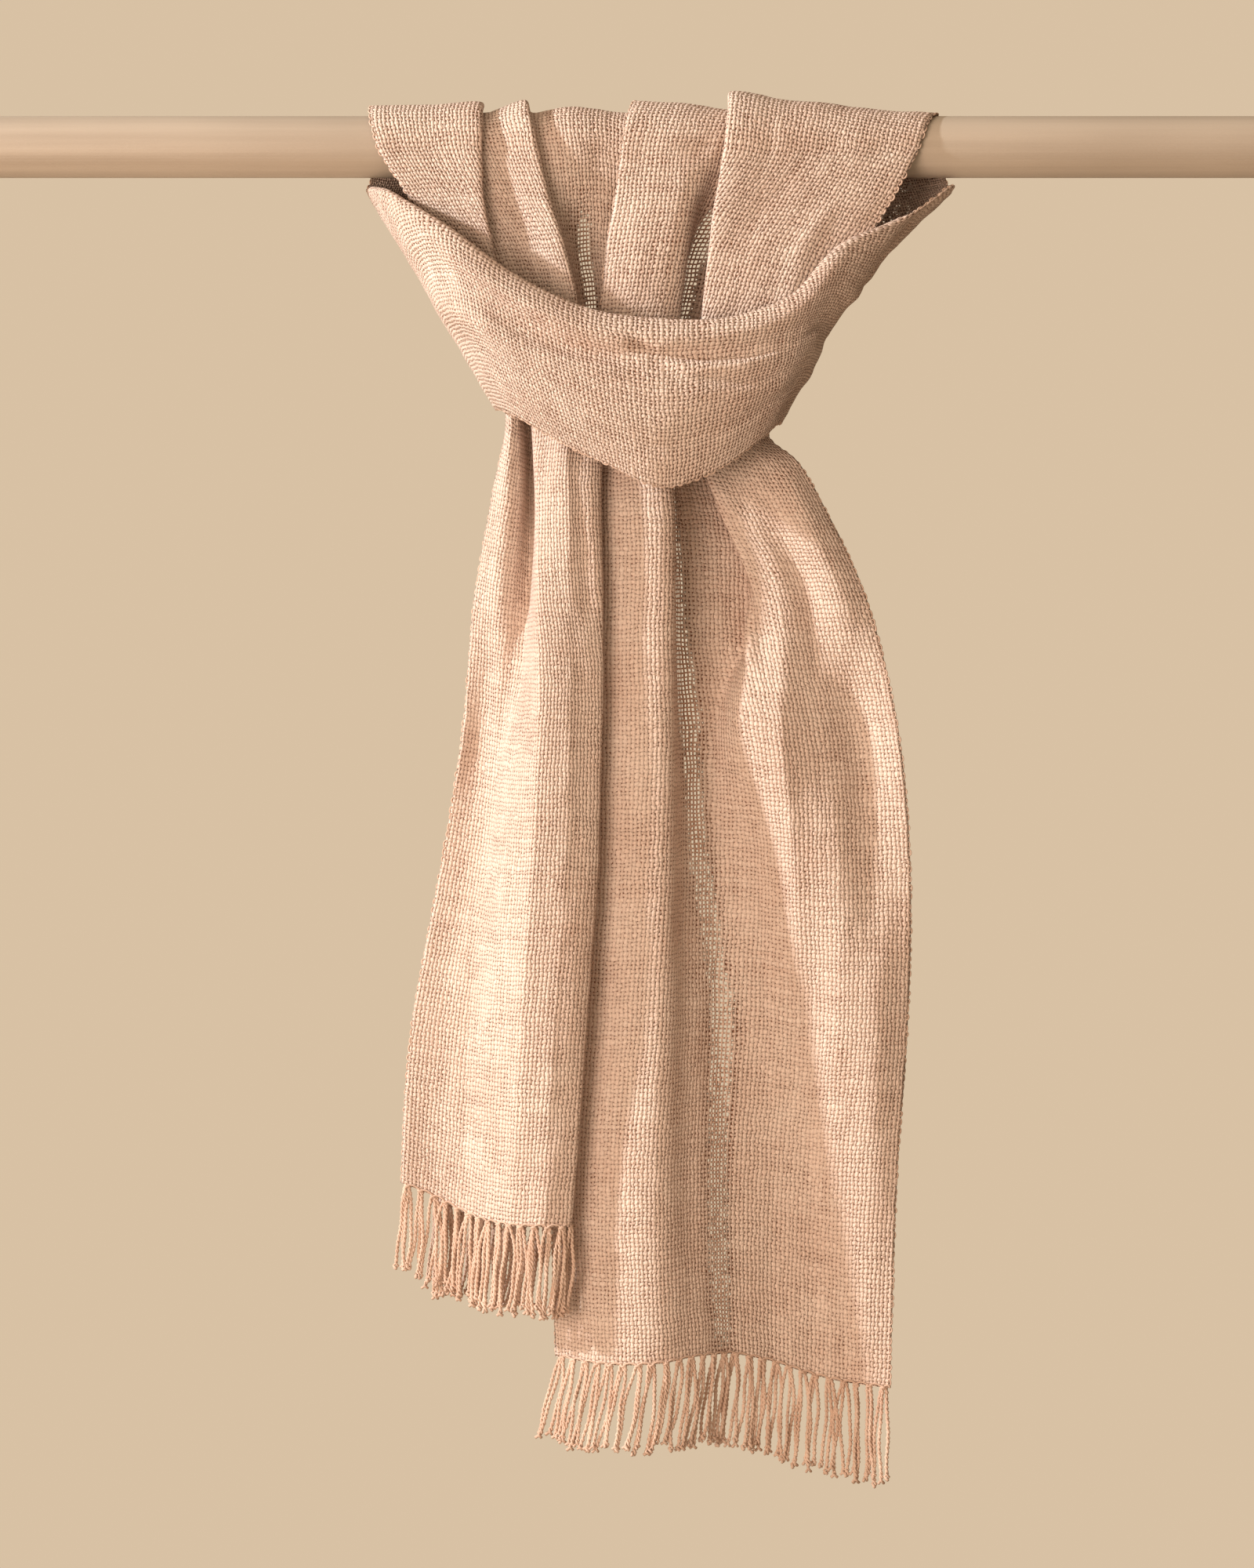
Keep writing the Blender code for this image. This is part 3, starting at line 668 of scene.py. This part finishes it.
swag_part = swag_rows[SWAG_ROWS:-SWAG_ROWS]
swag_columns = np.array([swag_shares(row[7]) for row in swag_part])
swag_grid = np.array([swag_section(row, shares) for row, shares in zip(swag_part, swag_columns)])
swag_across = swag_columns * CUT_WIDTH
swag_steps = np.linalg.norm(np.diff(swag_grid, axis=0), axis=2)
swag_along = np.concatenate([[0.0], swag_steps[:, TUCK_COLUMNS:].mean(axis=1).cumsum()]) * MM
swag_along = np.repeat(swag_along[:, None], swag_grid.shape[1], axis=1)
swag_lift = -crease(swag_across, swag_along, SWAG_CREASES, 7.1)
# The hitch also pulls the swag's yarns apart: a sixth wider across, a twentieth along.
swag_loose = np.full(swag_across.shape, HITCH_LOOSENESS)
swag_flat = (swag_across * 0.85, swag_along * 0.95)
swag = cloth("swag_over_both", swag_grid, *swag_flat, swag_lift, swag_loose)
swag.data.materials.append(cotton)
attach(swag, "root")
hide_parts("swag")

# --- The fringes ---------------------------------------------------------------------------------
# The warp ends left unwoven past each hem, about 50 mm of two-ply cotton. A hem-stitching thread
# gathers them in groups of three or four, so that they hang in small bunches and fan out below.
STRAND_GROUPS = 26
PLY_RADIUS = 0.00072
PLY_OFFSET = 0.00064
STRAND_RINGS = 30
LEFT_FRINGE = (47, 52, -3, -4)
RIGHT_FRINGE = (46, 55, -11, 0)


def spun_cotton():
    finish = Finish("spun_cotton", Roughness=0.95, Specular_IOR_Level=0.06)
    place = finish.node("TexCoord").outputs["Object"]
    broad = finish.speckle(place, 60.0, 1.0)
    fluff = finish.speckle(place, 1900.0, 2.0)
    tone = (broad * 0.6 + fluff * 0.5).rise(0.3, 0.8)
    fibre = finish.blend(tone, (0.58, 0.40, 0.31, 1), (0.76, 0.595, 0.50, 1))
    finish.feed(finish.shader.inputs["Base Color"], fibre)
    finish.relief(fluff * 0.00012)
    return finish.material


def thread(work, path, radii, sides=5):
    """A round thread along a path: a grid rolled into a tube and sewn up its length, its ends left open for
    finish_threads to close.
    """
    path = np.asarray(path)
    ways = np.gradient(path, axis=0)
    ways /= np.maximum(np.linalg.norm(ways, axis=1, keepdims=True), 1e-12)
    up = np.array([0.0, 0.0, 1.0]) if abs(ways[0][2]) < 0.8 else np.array([0.0, 1.0, 0.0])
    frames = []
    for way in ways:
        side = np.cross(way, up)
        side /= max(np.linalg.norm(side), 1e-12)
        up = np.cross(side, way)
        frames.append((side, up))
    made = bmesh.ops.create_grid(work, x_segments=sides, y_segments=len(path) - 1, size=0.5)["verts"]
    made = sorted(made, key=lambda v: (round(v.co.y, 5), round(v.co.x, 5)))
    radii = np.broadcast_to(radii, len(path))
    for index, vertex in enumerate(made):
        ring, step = divmod(index, sides + 1)
        side, up = frames[ring]
        turn = 2 * math.pi * step / sides
        vertex.co = Vector(path[ring] + (side * math.cos(turn) + up * math.sin(turn)) * radii[ring])
    seam = [made[ring * (sides + 1)] for ring in range(len(path))]
    other = {made[ring * (sides + 1) + sides]: seam[ring] for ring in range(len(path))}
    bmesh.ops.weld_verts(work, targetmap=other)


def finish_threads(name, work, material):
    """Closes the tubes' ends, turns their faces outwards and makes the piece."""
    rims = [edge for edge in work.edges if edge.is_boundary]
    bmesh.ops.holes_fill(work, edges=rims, sides=8)
    bmesh.ops.recalc_face_normals(work, faces=work.faces[:])
    for face in work.faces:
        face.smooth = True
    mesh = bpy.data.meshes.new(name)
    work.to_mesh(mesh)
    work.free()
    mesh.materials.append(material)
    piece = bpy.data.objects.new(name, mesh)
    bpy.context.scene.collection.objects.link(piece)
    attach(piece, "root")
    return piece


def along_hem(hem, shares):
    """Points at shares of the hem's length, from its row of points."""
    run = np.concatenate([[0.0], np.linalg.norm(np.diff(hem, axis=0), axis=1).cumsum()])
    at = np.asarray(shares) * run[-1]
    return np.stack([np.interp(at, run, hem[:, axis]) for axis in range(3)], axis=-1)


def fringe(name, hem, shape, seed):
    chance = random.Random(seed)
    work = bmesh.new()
    for group in range(STRAND_GROUPS):
        centre = (group + 0.5 + chance.uniform(-0.12, 0.12)) / STRAND_GROUPS
        strands = chance.choice((3, 3, 3, 4))
        for index in range(strands):
            own = (group + (index + 0.5) / strands + chance.uniform(-0.06, 0.06)) / STRAND_GROUPS
            root = along_hem(hem, centre + (own - centre) * 0.30)
            rest = along_hem(hem, min(max(own, 0.0), 1.0))
            drop = (shape[0] + (shape[1] - shape[0]) * own) * chance.uniform(0.93, 1.05)
            slant = shape[2] + (shape[3] - shape[2]) * own + chance.uniform(-2.2, 2.2)
            depth = chance.uniform(-1.3, 1.3)
            sway = chance.uniform(0, 6.3)
            bend = chance.uniform(-2.4, 2.4)
            down = np.linspace(0.0, 1.0, STRAND_RINGS)
            spread = 1 - (1 - np.minimum(down / 0.45, 1.0)) ** 2
            path = root + (rest - root) * spread[:, None]
            path[:, 0] += slant * down ** 1.4 + bend * np.sin(np.pi * down) + 0.35 * np.sin(down * 11 + sway)
            path[:, 1] += depth * down + 0.4 * np.sin(down * 8 + sway)
            path[:, 2] += 0.8 - (drop + 0.8) * down
            path *= MM
            coil = down * (drop / 5.5) * 2 * math.pi + sway
            open_end = 1 + 1.9 * np.maximum(0.0, (down - 0.92) / 0.08)
            for ply in (0.0, math.pi):
                ring = path.copy()
                ring[:, 0] += PLY_OFFSET * open_end * np.cos(coil + ply)
                ring[:, 1] += PLY_OFFSET * open_end * np.sin(coil + ply)
                frayed = 1 + 0.25 * np.maximum(0.0, (down - 0.95) / 0.05)
                radii = PLY_RADIUS * chance.uniform(0.85, 1.12) * frayed
                thread(work, ring, radii)
    return finish_threads(name, work, yarn_finish)


yarn_finish = spun_cotton()
left_fringe = fringe("left_fringe_strands", left_grid[0], LEFT_FRINGE, 11)
right_fringe = fringe("right_fringe_strands", right_grid[0], RIGHT_FRINGE, 23)
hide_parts("left_fringe")
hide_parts("right_fringe")

# --- The hem stitching ---------------------------------------------------------------------------
# A cotton thread along each hem holds the last pick. It goes round every group of warp ends and slants
# over that pick to the next group. Here each wrap and each slant is a short tube of its own.
STITCH_RADIUS = 0.00060


def hem_stitch(name, hem, above):
    work = bmesh.new()
    for group in range(STRAND_GROUPS):
        centre = along_hem(hem, (group + 0.5) / STRAND_GROUPS)
        nearby = along_hem(hem, (group + 0.6) / STRAND_GROUPS) - along_hem(hem, (group + 0.4) / STRAND_GROUPS)
        side = nearby / np.linalg.norm(nearby)
        out = np.cross(side, [0.0, 0.0, 1.0])
        out /= np.linalg.norm(out)
        turns = np.linspace(0.0, 2.2 * math.pi, 15)
        wrap = [
            centre + side * 1.5 * math.cos(t) + out * 1.25 * math.sin(t) - np.array([0, 0, 0.2 + 0.12 * t])
            for t in turns
        ]
        thread(work, np.array(wrap) * MM, STITCH_RADIUS)
        following = along_hem(hem, min((group + 1.5) / STRAND_GROUPS, 1.0))
        lift = along_hem(above, min((group + 1.0) / STRAND_GROUPS, 1.0))
        steps = np.linspace(0.0, 1.0, 9)[:, None]
        for face in (1.0, -1.0):
            arc = centre * (1 - steps) ** 2 + 2 * lift * steps * (1 - steps) + following * steps ** 2
            thread(work, (arc + out * face * 0.75) * MM, STITCH_RADIUS * 0.8)
    return finish_threads(name, work, yarn_finish)


left_stitch = hem_stitch("left_hem_stitch", left_grid[0], left_grid[1])
right_stitch = hem_stitch("right_hem_stitch", right_grid[0], right_grid[1])

# --- The selvedges -------------------------------------------------------------------------------
# Along both edges of the cloth the weft turns back round the last warp end, pick after pick, which
# leaves a row of small loops. They are the same thread as the weft.
LOOP_STEP = 4.92
LOOP_REACH = 0.85
WEFT_RADIUS = 0.00046


def selvedge(name, grids):
    """Small loops of weft along the first and last columns of each grid."""
    chance = random.Random(len(name))
    work = bmesh.new()
    for grid in grids:
        for edge, inner in ((grid[:, 0], grid[:, 1]), (grid[:, -1], grid[:, -2])):
            run = np.concatenate([[0.0], np.linalg.norm(np.diff(edge, axis=0), axis=1).cumsum()])
            count = int(run[-1] / LOOP_STEP)
            uneven = [chance.uniform(-0.9, 0.9) for _ in range(count)]
            at = (np.arange(count) + 0.5) * run[-1] / count + uneven
            spots = np.stack([np.interp(at, run, edge[:, axis]) for axis in range(3)], axis=1)
            inners = np.stack([np.interp(at, run, inner[:, axis]) for axis in range(3)], axis=1)
            ways = np.gradient(spots, axis=0)
            for spot, within, way in zip(spots, inners, ways):
                way = way / np.linalg.norm(way)
                out = spot - within
                out -= way * np.dot(out, way)
                out /= max(np.linalg.norm(out), 1e-9)
                reach = LOOP_REACH * chance.uniform(0.5, 1.5)
                length = chance.uniform(1.3, 2.0)
                turns = np.linspace(-0.6 * math.pi, 0.6 * math.pi, 7)
                loop = [spot + out * (reach * math.cos(t) - 0.55) + way * length * math.sin(t) for t in turns]
                thread(work, np.array(loop) * MM, WEFT_RADIUS)
    return finish_threads(name, work, yarn_finish)


left_selvedge = selvedge("left_selvedge_loops", [left_grid])
right_selvedge = selvedge("right_selvedge_loops", [right_grid])
swag_selvedge = selvedge("swag_selvedge_loops", [swag_grid])

# --- Floor, light and camera ---------------------------------------------------------------------
# The studio round it: a pale floor below the fringes, a small lamp high at the left, a broad warm one
# low in front, and a surround that is darker towards the right. The camera stands level in front.
floor_mesh = bpy.data.meshes.new("pale_floor")
floor_work = bmesh.new()
bmesh.ops.create_grid(floor_work, x_segments=1, y_segments=1, size=1.6)
bmesh.ops.translate(floor_work, verts=floor_work.verts[:], vec=(0, 0, -1.15))
floor_work.to_mesh(floor_mesh)
floor_work.free()
floor_finish = Finish("pale_floor", Roughness=0.8)
floor_place = floor_finish.node("TexCoord").outputs["Object"]
floor_cloud = floor_finish.speckle(floor_place, 3.0, 3.0)
floor_tone = floor_finish.blend(floor_cloud, (0.44, 0.36, 0.28, 1), (0.50, 0.42, 0.33, 1))
floor_finish.feed(floor_finish.shader.inputs["Base Color"], floor_tone)
floor_mesh.materials.append(floor_finish.material)
floor = bpy.data.objects.new("pale_floor", floor_mesh)
bpy.context.scene.collection.objects.link(floor)

class Surround(Finish):
    """The world's colour while it is being mixed, with the same methods as a material's."""

    def __init__(self, world):
        world.use_nodes = True
        self.tree = world.node_tree
        self.shader = self.tree.nodes["Background"]


surround = bpy.data.worlds.new("warm_studio")
studio = Surround(surround)
studio.shader.inputs["Strength"].default_value = 0.93
outlook = studio.node("TexCoord").outputs["Object"]
rightward = Value(studio.tree, studio.node("SeparateXYZ", Vector=outlook).outputs["X"])
warm_wall = studio.blend(rightward.rise(0.15, 0.60), (0.74, 0.575, 0.40, 1), (0.22, 0.15, 0.095, 1))
studio.feed(studio.shader.inputs["Color"], warm_wall)
bpy.context.scene.world = surround


def lamp(name, place, target, size, power, colour):
    light = bpy.data.lights.new(name, "AREA")
    light.size = size
    light.energy = power
    light.color = colour
    stand = bpy.data.objects.new(name, light)
    stand.location = place
    stand.rotation_euler = (Vector(target) - Vector(place)).to_track_quat("-Z", "Y").to_euler()
    bpy.context.scene.collection.objects.link(stand)


lamp("key", (-2.8, -0.63, 0.82), (0, 0, -0.33), 0.16, 90, (1.0, 0.99, 0.97))
lamp("fill", (-1.6, -2.4, -0.45), (0, 0, -0.33), 1.5, 50, (1.0, 0.76, 0.60))

view = bpy.data.cameras.new("photo_view")
view.lens = 122.7
view.sensor_width = 36
camera = bpy.data.objects.new("photo_view", view)
camera.location = (-0.0176, -3.035, -0.3617)
camera.rotation_euler = (math.pi / 2, 0, 0)
bpy.context.scene.collection.objects.link(camera)
bpy.context.scene.camera = camera
bpy.context.scene.view_settings.view_transform = "Standard"
